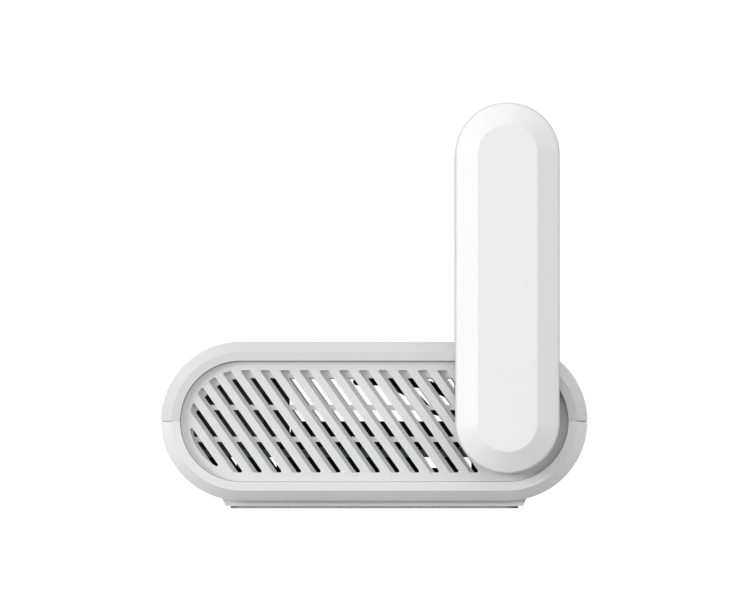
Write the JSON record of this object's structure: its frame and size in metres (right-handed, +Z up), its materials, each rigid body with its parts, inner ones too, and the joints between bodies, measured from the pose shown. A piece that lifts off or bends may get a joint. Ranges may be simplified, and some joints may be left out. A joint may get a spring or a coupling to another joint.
{
  "type": "wireless router",
  "caption": "Small travel router with a rounded bar casing, slanted side grilles and a folding flat antenna at each side.",
  "frame": {"origin": "under the middle of the router, on the surface it stands on", "axes": "+X to the front end with the status light, +Y across from the near to the far side grille, +Z up"},
  "size_m": [0.0852, 0.1188, 0.0812],
  "materials": {
    "casing_upper": "fine satin off-white moulded plastic",
    "casing_lower": "fine satin off-white moulded plastic",
    "grille": "satin off-white moulded plastic",
    "port_plate": "satin light grey moulded plastic",
    "antenna_cover": "smooth satin white moulded plastic",
    "antenna_back": "smooth satin white moulded plastic",
    "hub_plastic": "machined-looking acetal",
    "foot_rubber": "soft grey rubber sheet",
    "jack_plastic": "glass-filled dark grey plastic",
    "switch_black": "black plastic",
    "tongue_black": "black plastic",
    "usb_tongue": "blue plastic",
    "contact_gold": "gold flash",
    "socket_steel": "nickel-plated sheet",
    "screw_steel": "zinc-plated",
    "board_green": "solder-resist green laminate",
    "sink_black": "black anodised",
    "pin_plastic": "black nylon",
    "chip_black": "moulded epoxy",
    "thermal_pad": "soft silicone pad",
    "lamp_white": "clear-topped lamp",
    "light_pipe": "clear acrylic",
    "insulating_film": "black polycarbonate film",
    "lead_black": "black coaxial jacket",
    "button_grey": "satin grey plastic"
  },
  "bodies": {
    "casing": {"upper_shell": "casing_upper", "lower_shell": "casing_lower", "foot_pad": "foot_rubber", "side_grille_near": "grille", "side_grille_far": "grille", "port_plate": "port_plate", "wan_jack_housing": "jack_plastic", "wan_jack_contacts": "contact_gold", "wan_jack_magnetics": "switch_black", "lan_jack_magnetics": "switch_black", "lan_jack_housing": "jack_plastic", "lan_jack_contacts": "contact_gold", "usb_a_shell": "socket_steel", "usb_a_tongue": "usb_tongue", "usb_c_shell": "socket_steel", "usb_c_tongue": "tongue_black", "reset_switch": "switch_black", "mode_switch": "switch_black", "main_board": "board_green", "upper_heat_sink": "sink_black", "lower_heat_sink": "sink_black", "heat_sink_pins": "pin_plastic", "processor": "chip_black", "memory_chips": "chip_black", "radio_cans": "socket_steel", "thermal_pad_upper": "thermal_pad", "thermal_pad_lower": "thermal_pad", "status_light": "lamp_white", "light_pipe": "light_pipe", "insulating_sheet": "insulating_film", "board_screws": "screw_steel", "case_screws": "screw_steel", "antenna_lead_near": "lead_black", "antenna_socket_near": "contact_gold", "hinge_washer_near": "screw_steel", "antenna_lead_far": "lead_black", "antenna_socket_far": "contact_gold", "hinge_washer_far": "screw_steel"},
    "antenna_near": {"antenna_cover_near": "antenna_cover", "antenna_back_near": "antenna_back", "antenna_hub_near": "hub_plastic", "hinge_clip_near": "screw_steel", "antenna_radiator_near": "board_green"},
    "antenna_far": {"antenna_cover_far": "antenna_cover", "antenna_back_far": "antenna_back", "antenna_hub_far": "hub_plastic", "hinge_clip_far": "screw_steel", "antenna_radiator_far": "board_green"},
    "reset_key": {"reset_button": "button_grey"},
    "mode_key": {"mode_knob": "button_grey"}
  },
  "joints": [
    {"name": "antenna_near_hinge", "type": "hinge", "parent": "casing", "child": "antenna_near", "pos_m": [0.02662, -0.05, 0.0173], "axis": [0, 1, 0], "range_deg": [-90, 90]},
    {"name": "antenna_far_hinge", "type": "hinge", "parent": "casing", "child": "antenna_far", "pos_m": [0.02662, 0.05, 0.0173], "axis": [0, 1, 0], "range_deg": [-90, 90]},
    {"name": "reset_press", "type": "slide", "parent": "casing", "child": "reset_key", "axis": [1, 0, 0], "range_m": [0, 0.0004], "stiffness_N_per_m": 400, "springref_m": -0.0005},
    {"name": "mode_slide", "type": "slide", "parent": "casing", "child": "mode_key", "axis": [0, 1, 0], "range_m": [0, 0.002]}
  ]
}
